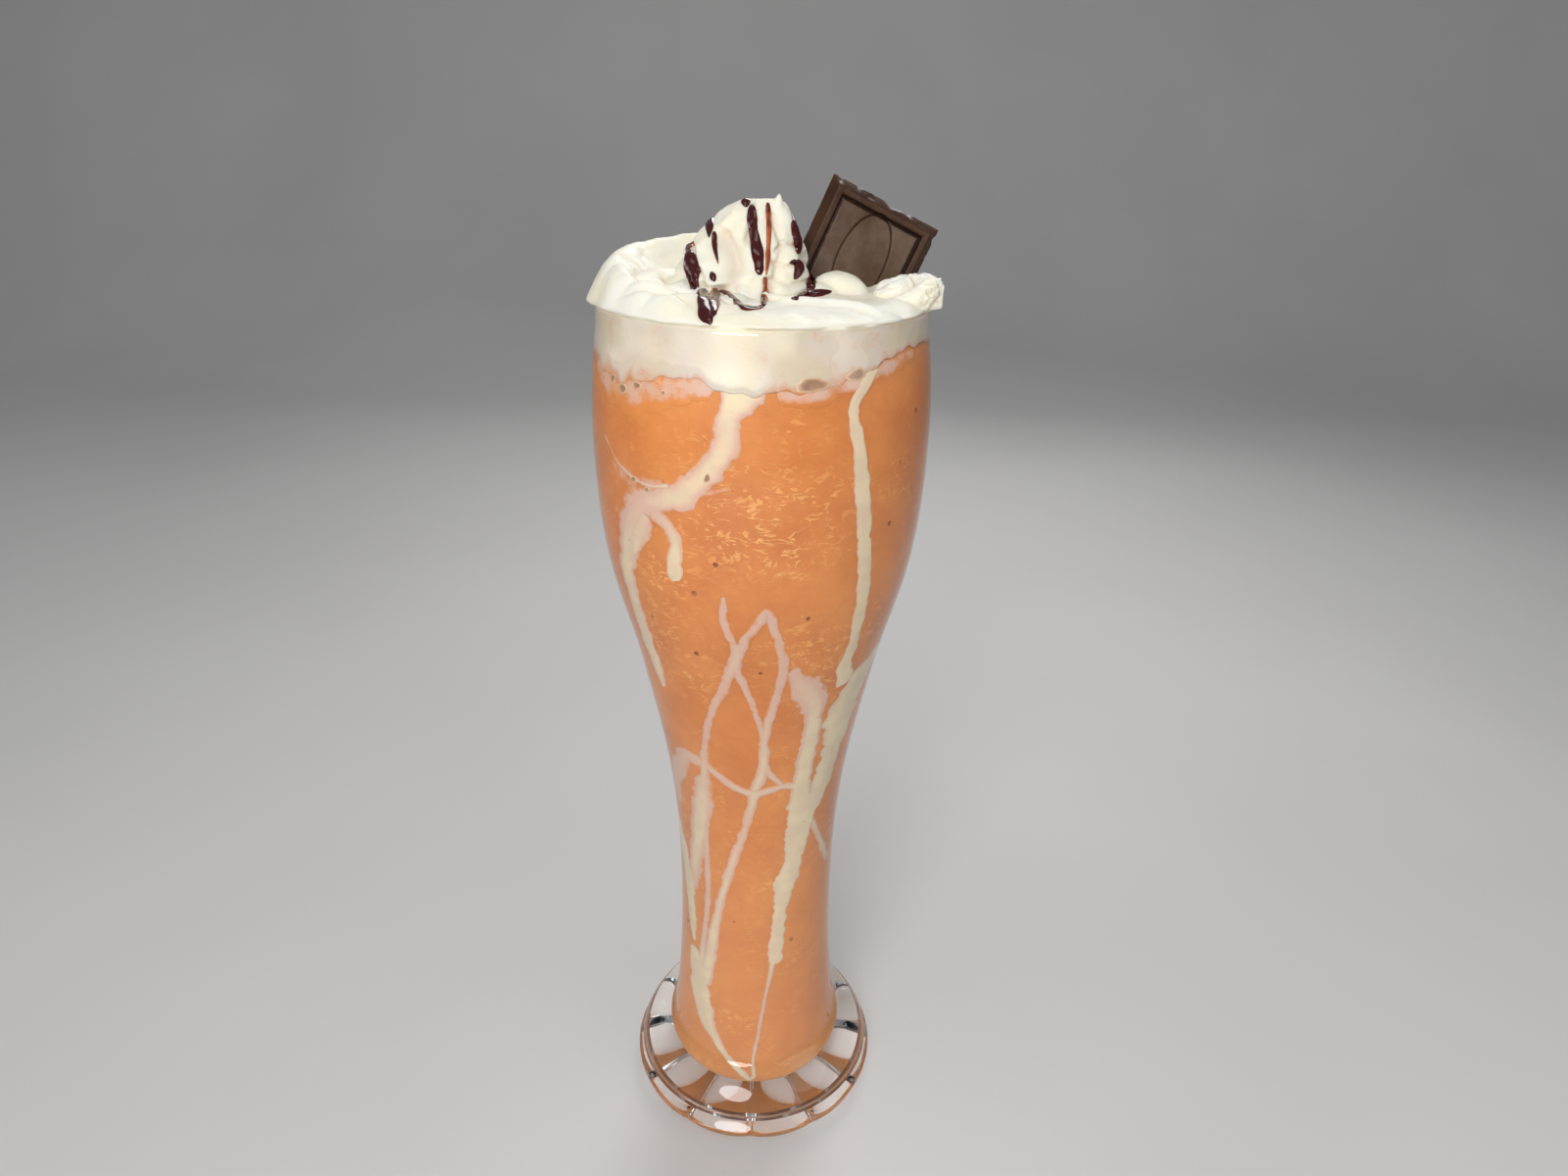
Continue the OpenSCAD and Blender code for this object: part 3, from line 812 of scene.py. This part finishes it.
# Angle in degrees, height, half width, and thinness from 0 to 1, left out where it is 0
STREAKS = {
    "film_left": ((-158, 228, 2, 0.6), (-150, 226, 3, 0.66), (-141, 225, 3.4, 0.62),
        (-131, 225.5, 3.8, 0.7), (-121, 227, 3.4, 0.62), (-111, 228, 2.4, 0.55), (-103, 228, 1.6, 0.5)),
    "film_right": ((-84, 228, 1.5, 0.5), (-76, 227, 1.8, 0.55), (-66, 228, 1.8, 0.6), (-57, 229, 1.8, 0.5),
        (-45, 231, 1.5, 0.6), (-30, 233, 1.2, 0.7)),
    "film_level": ((-112, 205, 1.2, 0.7), (-104, 206, 0.8, 0.75), (-97, 207, 0.4, 0.8)),
    "film_over": ((-146, 208, 1.8, 0.8), (-138, 206, 2.2, 0.75), (-129, 205, 2, 0.72),
        (-120, 206, 1.4, 0.7)),
    "streak_left_neck": ((-90, 231, 5.4, 0.05), (-95, 227, 3.8, 0.08), (-99, 222, 2.6, 0.12),
        (-99, 217, 2.8, 0.18), (-102, 213, 3, 0.16), (-108, 208, 2.8, 0.18), (-115, 204, 3, 0.14),
        (-122, 202, 2.6, 0.2), (-129, 201, 2.4, 0.3)),
    "streak_left_smear": ((-119, 203, 1.6, 0.4), (-124, 201, 3.2, 0.35), (-131, 199, 4.6, 0.3),
        (-137, 193, 4.6, 0.25), (-142, 186, 2.8, 0.15)),
    "streak_left_edge": ((-138, 190, 3.4, 0.2), (-143, 181, 3.2, 0.1), (-143, 172, 3, 0.1),
        (-143, 163, 3.3, 0.05), (-142, 155, 3, 0.05), (-140, 147, 1.2, 0.2)),
    "streak_left_tooth": ((-128, 198, 2.8, 0.25), (-133, 192, 2.6, 0.2), (-136, 187, 0.9, 0.15)),
    "streak_left_drip": ((-127, 199, 1.6, 0.35), (-120, 197, 1.6, 0.25), (-117, 193, 1.5, 0.15),
        (-118, 188, 1.9, 0.05), (-118, 183, 2.4)),
    "streak_left_thread": ((-150, 213, 0.3, 0.5), (-141, 208, 0.35, 0.4), (-134, 206, 0.5, 0.3),
        (-127, 205, 0.4, 0.3), (-118, 206, 0.7, 0.2)),
    "streak_right": ((-51, 233, 2.6), (-56, 227, 1.3), (-59, 224, 1.4), (-57, 216, 1.6), (-55, 208, 2),
        (-53, 197, 2.1), (-50, 185, 2.1), (-48, 172, 2), (-47, 163, 1.8), (-48, 156, 2.4), (-43, 151, 3.2)),
    "streak_right_wide": ((-16, 156, 2), (-24, 153, 3.6), (-33, 149, 5.2), (-38, 143, 6.2), (-39, 135, 5.6),
        (-41, 126, 4.2), (-44, 117, 3.8), (-49, 110, 3.2), (-55, 105, 2)),
    "streak_blob": ((-74, 160, 1.6, 0.35), (-71, 155, 2.4, 0.3), (-65, 151, 3.8, 0.25),
        (-61, 147, 3.4, 0.2), (-60, 141, 2, 0.15), (-59, 136, 2.4, 0.1)),
    "streak_long": ((-58, 142, 1.8, 0.15), (-59, 135, 2.6, 0.1), (-60, 127, 2.8, 0.1),
        (-60, 118, 2.9, 0.05), (-59, 109, 3.9), (-58, 102, 4), (-60, 94, 3), (-63, 88, 3.1), (-66, 84, 3.6),
        (-68, 80, 2.6), (-70, 72, 2.1), (-72, 62, 2.2), (-73, 55, 2.3)),
    "streak_long_tail": ((-74, 58, 1, 0.1), (-77, 50, 0.7, 0.25), (-81, 41, 0.55, 0.3),
        (-85, 30, 0.55, 0.3), (-89, 18, 0.6, 0.2), (-90, 11, 0.7, 0.2)),
    "streak_loop": ((-101, 181, 0.5, 0.4), (-101, 174, 1.1, 0.35), (-99, 169, 1.1, 0.35),
        (-96, 166, 1.3, 0.3), (-93, 170, 1.2, 0.35), (-89, 174, 1.2, 0.35), (-86, 177, 1.3, 0.35),
        (-83, 172, 1.2, 0.35), (-80, 166, 1.2, 0.35), (-78, 160, 1.3, 0.35), (-80, 152, 1.2, 0.35),
        (-83, 144, 1.2, 0.3), (-85, 137, 1.2, 0.25), (-85, 131, 1.3, 0.2), (-86, 125, 1.4, 0.2),
        (-90, 119, 1.3, 0.2)),
    "streak_loop_foot": ((-85, 129, 1.2, 0.25), (-80, 124, 0.9, 0.3), (-74, 121, 0.8, 0.25)),
    "streak_loop_left": ((-96, 168, 1.2, 0.3), (-98, 162, 1.8, 0.25), (-101, 158, 1.6, 0.3),
        (-105, 152, 1.3, 0.35), (-112, 144, 1.2, 0.35), (-118, 133, 1.2, 0.35), (-121, 125, 1.4, 0.25),
        (-123, 118, 1.7, 0.2)),
    "streak_cross": ((-99, 162, 1.3, 0.3), (-93, 152, 0.9, 0.35), (-88, 143, 0.9, 0.35),
        (-85, 136, 0.9, 0.3)),
    "streak_level": ((-155, 104, 1.6, 0.35), (-154, 113, 3.2, 0.3), (-147, 119, 3.2, 0.3),
        (-136, 125, 2.2, 0.3), (-124, 126, 1.6, 0.3), (-115, 124, 1.3, 0.3), (-106, 121, 1.2, 0.3),
        (-98, 119, 1.2, 0.25), (-90, 118, 1.5, 0.2), (-81, 119, 1.1, 0.25), (-73, 120, 1, 0.25),
        (-64, 119, 1.2, 0.1)),
    "streak_stem_a": ((-123, 121, 2, 0.25), (-126, 114, 3.1, 0.2), (-130, 106, 3.4, 0.15),
        (-135, 96, 2.9, 0.15), (-141, 85, 2.7, 0.2), (-144, 76, 1.8, 0.3)),
    "streak_stem_b": ((-172, 98, 1.6, 0.1), (-163, 92, 2.6, 0.05), (-155, 83, 2.8), (-150, 74, 2.6),
        (-147, 64, 2.2), (-144, 56, 0.8, 0.1)),
    "streak_stem_c": ((-125, 108, 1.3, 0.3), (-127, 97, 1, 0.3), (-127, 86, 1, 0.3), (-128, 74, 1, 0.3),
        (-132, 60, 1.1, 0.25), (-135, 48, 1.4, 0.15)),
    "streak_slant": ((-89, 119, 1.8, 0.15), (-92, 113, 1.3, 0.25), (-97, 104, 1.1, 0.3),
        (-104, 95, 1.3, 0.25), (-110, 86, 1.3, 0.2), (-116, 77, 1.3, 0.2), (-122, 65, 1.6, 0.15),
        (-127, 52, 2.2, 0.1), (-132, 43, 2.6, 0.05)),
    "streak_low": ((-143, 54, 2, 0.05), (-140, 47, 3.4), (-136, 41, 3.8), (-132, 35, 3.9),
        (-127, 30, 3, 0.05), (-120, 26, 1.9, 0.1), (-111, 21, 1.2, 0.1), (-103, 17, 1.1, 0.1),
        (-95, 13, 1.1, 0.1), (-91, 10, 0.8, 0.1)),
    "streak_back_left": ((152, 232, 3.4), (149, 222, 2, 0.05), (145, 207, 1.8, 0.1), (146, 192, 2.2, 0.05),
        (142, 176, 1.5, 0.15), (144, 166, 0.9, 0.25)),
    "streak_back_right": ((62, 231, 2.6), (65, 216, 1.5, 0.1), (61, 198, 1.9, 0.05), (66, 180, 1.6, 0.15),
        (64, 160, 2, 0.1), (69, 146, 0.9, 0.3)),
    "streak_back_low": ((112, 150, 1, 0.35), (104, 136, 1.3, 0.3), (108, 118, 1.2, 0.3),
        (98, 100, 1.3, 0.25), (103, 80, 1.8, 0.15), (97, 64, 1.3, 0.2)),
    "streak_side_low": ((12, 122, 1.4, 0.2), (5, 106, 2.1, 0.1), (-3, 88, 1.9, 0.1), (1, 70, 1.3, 0.2)),
    "streak_back_cross": ((70, 104, 1, 0.35), (88, 96, 1.3, 0.3), (106, 92, 1.1, 0.3),
        (128, 100, 1.4, 0.3)),
    "streak_right_thin": ((-47, 104, 0.9, 0.2), (-40, 98, 1, 0.2), (-31, 91, 1.3, 0.2),
        (-22, 84, 1.3, 0.3)),
}


def air_pocket_shade(name, angle, height, long, tall, turn):
    """The face of a bubble, a flat oval on the inner wall that carries its painted shade."""
    rings, turns, thick = 10, 48, 1.0
    share, around = np.linspace(0.02, 1, rings)[:, None], turn_angles(turns)
    ragged = 1 + 0.1 * np.sin(3 * around + angle) + 0.05 * np.sin(7 * around)
    a, b = share * ragged * long * np.cos(around), share * ragged * tall * np.sin(around)
    lean = math.radians(turn)
    s, z = a * math.cos(lean) - b * math.sin(lean), height + a * math.sin(lean) + b * math.cos(lean)
    radius = inner_r(z) + CREAM_REACH + 0.1 - 0.5 * (share > 0.99)
    turned_to = math.radians(angle) + s / float(inner_r(height))
    sides = [as_points(r * np.cos(turned_to), r * np.sin(turned_to), z) for r in (radius, radius - thick)]
    size, last = rings * turns, (rings - 1) * turns
    faces = [f[::-1] for f in grid_faces(rings, turns)] + grid_faces(rings, turns, start=size)
    faces += [(last + k, last + j, size + last + j, size + last + k)
              for j, k in enumerate([*range(1, turns), 0])]
    faces += [tuple(range(turns)), tuple(range(size + turns - 1, size - 1, -1))]
    piece = mesh_piece(name, np.vstack(sides), faces, materials["air"])
    turn_outwards(piece)
    add_values(piece, "film", np.tile(np.repeat(share, turns), 2))
    return piece


# Angle, height, half length, half height and turn of each pocket of air under the cream
POCKETS = (
    (-73, 229.0, 4.0, 1.7, 3), (-58, 230.5, 2.7, 1.4, 12), (-144, 226.5, 1.3, 0.9, 20),
    (-138, 225, 1.6, 1.2, 0), (-131, 226.5, 1.3, 0.8, 0), (-120, 226, 0.6, 0.5, 0),
    (-127, 204, 0.8, 0.6, 0), (-133, 205.5, 1.0, 0.7, 10), (-105, 209, 0.7, 1.2, -20),
)


# ---- sauce
EYE = Vector((6.5, -238.6, 273.1))  # the photo's viewpoint. The sauce is laid out as it shows from here,
SAUCE_PLANE = -2.0  # and its places are given where that view crosses this upright plane
BEHIND_PEAK = 8.0  # what would land further back than this goes on the nearest cream instead
SAUCE_STEP, SAUCE_ACROSS = 0.35, 11  # the way between its rows, and the points in each
SAUCE_WIDER, SAUCE_RISE = 1.35, 0.5  # what its widths are multiplied by, and its largest height


def nearest(surface, place):
    """The place on the cream nearest to this one, and the way it faces."""
    hit, normal, _, _ = surface.find_nearest(Vector(place) * MM)
    return np.array(hit) / MM, np.array(normal)


def laid(surface, x, z):
    """The place on the cream that shows at x and z, and the way it faces."""
    place = Vector((x, SAUCE_PLANE, z))
    hit, normal, _, _ = surface.ray_cast(EYE * MM, (place - EYE).normalized())
    if hit is None or hit.y > BEHIND_PEAK * MM:
        return nearest(surface, place)
    return np.array(hit) / MM, np.array(normal)


def sauce(name, path, surface, seed):
    """Syrup lying on the cream along rows of (x, z, half width, thinness) in the front view."""
    line = curve_through([(x, z, 0, w, sum(thin)) for x, z, w, *thin in path], SAUCE_STEP)
    count, side = len(line), np.linspace(-1, 1, SAUCE_ACROSS)
    tangent = np.gradient(line[:, :2], axis=0)
    tangent /= np.maximum(np.linalg.norm(tangent, axis=1), 1e-6)[:, None]
    ends = np.minimum(np.arange(count), np.arange(count)[::-1]) * SAUCE_STEP
    width = SAUCE_WIDER * line[:, 3] * np.sqrt(np.clip((ends + 0.1) / (line[:, 3] + 0.1), 0, 1))
    width *= 1 + 0.3 * noise_at(line[:, 0], line[:, 1], seed, 2.2)
    top, under = [], []
    for (x, z), (along_x, along_z), wide in zip(line[:, :2], tangent, width):
        # Where the cream turns away, the sauce doesn't reach further back than twice its width
        middle, _ = laid(surface, x, z)
        back = 2 * wide + 0.5
        for share in side:
            hit, normal = laid(surface, x - along_z * wide * share, z + along_x * wide * share)
            if abs(hit[1] - middle[1]) > back:
                hit[1] = middle[1] + math.copysign(back, hit[1] - middle[1])
                hit, normal = nearest(surface, hit)
            rise = min(0.5 * wide, SAUCE_RISE) * math.sqrt(max(1 - share * share, 0))
            top.append(hit + normal * (rise + 0.03 - 0.3 * (abs(share) > 0.99)))
            under.append(hit - normal * 0.5)
    top = np.array(top).reshape(count, SAUCE_ACROSS, 3)
    for _ in range(3):
        top[1:-1] = 0.5 * top[1:-1] + 0.25 * (top[:-2] + top[2:])
    verts = np.vstack([top.reshape(-1, 3), under])
    piece = mesh_piece(name, verts, ribbon_faces(count, SAUCE_ACROSS), materials["sauce"])
    turn_outwards(piece)
    film = np.clip(line[:, 4, None] + 0.6 * np.abs(side) ** 4, 0, 1)
    add_values(piece, "film", [film, film])
    return piece


# Rows of x, z, half width, and thinness from 0 to 1, left out where it is 0
SAUCE = {
    "sauce_tip": ((-4.3, 263.4, 0.7), (-4.2, 262.4, 1.2), (-4, 261.2, 0.9, 0.1)),
    "sauce_middle": ((-2.7, 261.8, 0.8), (-2.7, 258.5, 0.95), (-2, 254.5, 1.05), (-1.2, 250.3, 1.1),
        (-0.8, 246.6, 1)),
    "sauce_thin": ((0.8, 262.3, 0.45, 0.6), (1.1, 258.5, 0.5, 0.7), (1.1, 253, 0.45, 0.8),
        (0.9, 249, 0.4, 0.9), (0.7, 246.7, 0.25, 0.9)),
    "sauce_thin_low": ((0.4, 246.2, 0.5, 0.5), (0.3, 243, 0.6, 0.6), (0.1, 239.6, 0.8, 0.3)),
    "sauce_left_top": ((-16.4, 255.4, 0.25, 0.5), (-16.9, 253.2, 0.8, 0.45), (-17.6, 251.4, 1, 0.35)),
    "sauce_left": ((-17.2, 251.8, 1.3, 0.1), (-16.6, 248.4, 1.4, 0.05), (-16.2, 245.2, 1.1),
        (-15.9, 243, 0.9)),
    "sauce_upper_left": ((-12.2, 259.4, 0.7), (-12.4, 256.8, 0.7), (-12.5, 254.5, 0.2)),
    "sauce_upper_left_tail": ((-11.3, 255.9, 0.5, 0.1), (-11.2, 252.6, 0.5, 0.2),
        (-10.4, 248.8, 0.12, 0.4)),
    "sauce_drop": ((-12, 247, 0.6), (-11.7, 246, 0.75), (-11.3, 244.9, 0.5, 0.1)),
    "sauce_low_left": ((-14.3, 243.6, 1, 0.1), (-14, 240.8, 1.2, 0.1), (-13.6, 238.2, 1.4),
        (-12.9, 236.4, 1.5), (-12.1, 235.3, 1)),
    "sauce_low_right": ((-11.1, 243.4, 1, 0.5), (-11.4, 240.4, 1.1, 0.4), (-11.9, 238, 1, 0.2),
        (-12.4, 236.6, 0.8, 0.1)),
    "sauce_lip": ((-10.2, 242.8, 0.35, 0.2), (-8.5, 242.4, 0.35, 0.2), (-6.8, 241.2, 0.45, 0.1),
        (-5.6, 239.8, 0.6, 0.1), (-4.1, 239.2, 0.6, 0.1), (-1.4, 239.2, 0.4, 0.2), (0.1, 239.4, 0.6, 0.2)),
    "sauce_right": ((6.2, 260, 0.35), (6.9, 257.9, 0.65), (7.2, 255.7, 0.8), (7.8, 254, 0.85, 0.1),
        (8, 251.4, 0.6, 0.1)),
    "sauce_hook": ((6, 249.4, 0.25, 0.1), (7.4, 249.7, 0.6), (8.3, 248.4, 0.9), (7.9, 247, 0.8),
        (7.2, 245.8, 0.4, 0.1)),
    "sauce_edge": ((10.4, 247.6, 0.8), (11, 245.2, 1.2), (11.3, 243.2, 1.1)),
    "sauce_pool": ((6.6, 241.5, 0.4), (9, 242.1, 0.75), (11.8, 242.6, 0.75), (16, 243.3, 0.2, 0.1)),
}


# ---- chocolate square
CHOC_W, CHOC_L, CHOC_T = 28.0, 29.0, 5.0
CHOC_SLOPE, CHOC_BORDER, CHOC_SINK = 1.9, 1.5, 0.7
CHOC_ROLL, CHOC_LEAN, CHOC_YAW = 27.0, 6.0, 8.0
CHOC_RAISED, CHOC_STRAIGHTER = 0.5, 1.6  # how much higher, and by what angle straighter, than the CAD's
CHOC_EDGE = 0.45  # share of its thickness that the sloping sides take
OVAL_W, OVAL_L, GROOVE = 0.215, 0.4, 0.4  # half sizes as shares of the square's, and the depth of the lines
CHOC_GRID = 170
CHIP_REACH = 1.6
# The back's rounded edge: inset and level as a share of the thickness
CHOC_BACK = ((0.0, -0.12), (0.05, -0.3), (0.25, -0.46), (0.8, -0.5))


def turn_by(degrees, axis):
    return Matrix.Rotation(math.radians(degrees), 4, axis)


def choc_place():
    """Where the CAD stands the chocolate, from the low corner of the node's box."""
    low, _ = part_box("chocolate_square")
    turn = turn_by(CHOC_YAW, "Z") @ turn_by(90 - CHOC_LEAN, "X") @ turn_by(-CHOC_ROLL, "Z")
    levels = ((0, -CHOC_T / 2), (0, CHOC_T * (0.5 - CHOC_EDGE)), (CHOC_SLOPE, CHOC_T / 2))
    corners = [turn @ Vector((sx * (CHOC_W / 2 - inset), sy * (CHOC_L / 2 - inset), z))
               for inset, z in levels for sx in (-1, 1) for sy in (-1, 1)]
    lowest = Vector([min(c[k] for c in corners) for k in range(3)])
    move = low / MM - lowest + Vector((0, 0, CHOC_RAISED))
    return Matrix.Translation(move) @ turn @ turn_by(CHOC_STRAIGHTER, "Z")


def chocolate():
    """The square with its bevels, raised border, sunk panel and oval line, chipped along two edges."""
    share = np.linspace(-1, 1, CHOC_GRID)
    x, y = np.meshgrid(share * CHOC_W / 2, share * CHOC_L / 2, indexing="ij")
    inset = np.minimum(CHOC_W / 2 - np.abs(x), CHOC_L / 2 - np.abs(y))
    panel = CHOC_SLOPE + CHOC_BORDER
    z = CHOC_T / 2 - CHOC_EDGE * CHOC_T * np.clip(1 - inset / CHOC_SLOPE, 0, 1) ** 1.1
    z -= CHOC_SINK * np.clip((inset - panel) / 0.3 + 0.5, 0, 1)
    groove = bump(inset - panel - 0.3, 0.42)
    oval = (np.hypot(x / (OVAL_W * CHOC_W), y / (OVAL_L * CHOC_L)) - 0.96) * 0.3 * CHOC_W
    line = bump(oval, 0.24)
    z -= GROOVE * (groove + line)
    z += 0.06 * noise_at(x, y, 0, 4.0) + 0.04 * noise_at(x, y, 0, 1.2, 3.0)
    # Panel values: dust with a painted sheen on the flat faces, painted shadow in the groove and the oval line
    border = 0.35 + 0.65 * np.clip((inset - panel) / 0.3, 0, 1)
    flat = border * np.clip((inset - CHOC_SLOPE) / 0.25, 0, 1) - 2 * np.maximum(groove, 0.75 * line)
    # Chips along the top and the right-hand edge, and a little wear all round
    near_edge = np.clip(1 - inset / CHIP_REACH, 0, 1)
    chipped = np.where((x > CHOC_W / 2 - 2) | (y > CHOC_L / 2 - 2), 1.3, 0.3)
    chip = np.clip(noise_at(x, y, 0, 2.7, 5.0) - 0.05, 0, 1) * chipped * near_edge
    z -= chip
    x = x - np.sign(x) * chip * 0.5 * (CHOC_W / 2 - np.abs(x) < CHIP_REACH)
    y = y - np.sign(y) * chip * 0.5 * (CHOC_L / 2 - np.abs(y) < CHIP_REACH)
    top = as_points(x, y, z)
    edge = grid_rim(CHOC_GRID, CHOC_GRID)
    verts, rings, last = [top], [edge], len(top)
    for inset_by, level in CHOC_BACK:
        row = top[edge] * (1 - inset_by / (CHOC_W / 2), 1 - inset_by / (CHOC_L / 2), 0)
        row[:, 2] = level * CHOC_T
        rings.append(list(range(last, last + len(row))))
        verts.append(row)
        last += len(row)
    faces = grid_faces(CHOC_GRID, CHOC_GRID, closed=False)
    after = [*range(1, len(edge)), 0]
    for high, low in zip(rings, rings[1:]):
        faces += [(high[k], high[n], low[n], low[k]) for k, n in enumerate(after)]
    faces += [(rings[-1][k], rings[-1][n], last) for k, n in enumerate(after)]
    verts.append([[0, 0, -0.5 * CHOC_T]])
    place = choc_place()
    verts = np.array([place @ Vector(v) for v in np.vstack(verts)])
    piece = mesh_piece("chocolate_piece", verts, faces, materials["chocolate"])
    turn_outwards(piece)
    add_values(piece, "panel", flat, np.zeros(len(verts) - flat.size))
    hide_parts("chocolate_square")
    return piece


# ---- stage
AIM_Z = 130  # the lamps shine at this height
LENS, SENSOR = 22.5, 36
VIEW_DOWN, VIEW_ROLL = 24.07, 1.35  # the camera looks down by the first and leans by the second


def stage():
    """A floor that curves up into a back wall."""
    s = Shader("floor", Roughness=0.6)
    s.set("Base Color", s.mottled((0.62, 0.61, 0.6, 1), (0.66, 0.65, 0.64, 1), 300))
    side, front, deep, cove, tall = 3000, -2500, 1400, 500, 3000
    profile = [(front, 0), (deep - cove, 0)]
    profile += [(deep - cove + cove * math.sin(a), cove * (1 - math.cos(a)))
                for a in np.linspace(0.1, math.pi / 2, 12)]
    profile += [(deep, tall)]
    verts = [(x, y, z) for y, z in profile for x in (-side, side)]
    faces = [(2 * i, 2 * i + 1, 2 * i + 3, 2 * i + 2) for i in range(len(profile) - 1)]
    floor = mesh_object("floor", verts, faces, s.material)
    floor.location.z = -FLOOR_GAP * MM


def lamp(name, at, size, power):
    """A round lamp that shines at the middle of the glass."""
    data = bpy.data.lights.new(name, "AREA")
    data.shape, data.size, data.energy = "DISK", size * MM, power
    lamp_object = bpy.data.objects.new(name, data)
    lamp_object.location = Vector(at) * MM
    aim = Vector((0, 0, AIM_Z)) * MM - lamp_object.location
    lamp_object.rotation_euler = aim.to_track_quat("-Z", "Y").to_euler()
    bpy.context.scene.collection.objects.link(lamp_object)


def lights():
    lamp("key", (-190, -655, 475), 380, 3.4)
    lamp("top", (-100, -160, 800), 320, 0.55)
    lamp("fill", (520, -300, 420), 500, 0.6)
    lamp("back", (120, 620, 640), 420, 2.6)
    world = bpy.data.worlds.new("studio")
    world.use_nodes = True
    background = world.node_tree.nodes["Background"]
    background.inputs["Color"].default_value = (0.95, 0.97, 1.0, 1)
    background.inputs["Strength"].default_value = 0.28
    bpy.context.scene.world = world


def camera():
    data = bpy.data.cameras.new("camera")
    data.lens, data.sensor_width = LENS, SENSOR
    data.clip_start, data.clip_end = 0.01, 20
    eye = bpy.data.objects.new("camera", data)
    eye.matrix_world = Matrix.Translation(EYE * MM) @ turn_by(90 - VIEW_DOWN, "X") @ turn_by(VIEW_ROLL, "Z")
    bpy.context.scene.collection.objects.link(eye)
    bpy.context.scene.camera = eye


bpy.context.scene.view_settings.view_transform = "Standard"
bpy.context.scene.cycles.max_bounces = 20
bpy.context.scene.cycles.transmission_bounces = 20
materials = {"cream": cream_material(), "streak": streak_material(), "sauce": sauce_material(),
             "chocolate": chocolate_material(), "air": pocket_shade_material()}
camera()
glass()
shake()
cream_pieces = [cream(), cream_peak(), cream_rosette()]
for number, (name, path) in enumerate(STREAKS.items()):
    streak(name, path, 11.0 * number)
for number, place in enumerate(POCKETS, 1):
    air_pocket_shade(f"air_pocket_shade_{number}", *place)
chocolate()
cream_surface = joined_surface(cream_pieces)
for number, (name, path) in enumerate(SAUCE.items()):
    sauce(name, path, cream_surface, 5.0 * number)
stage()
lights()
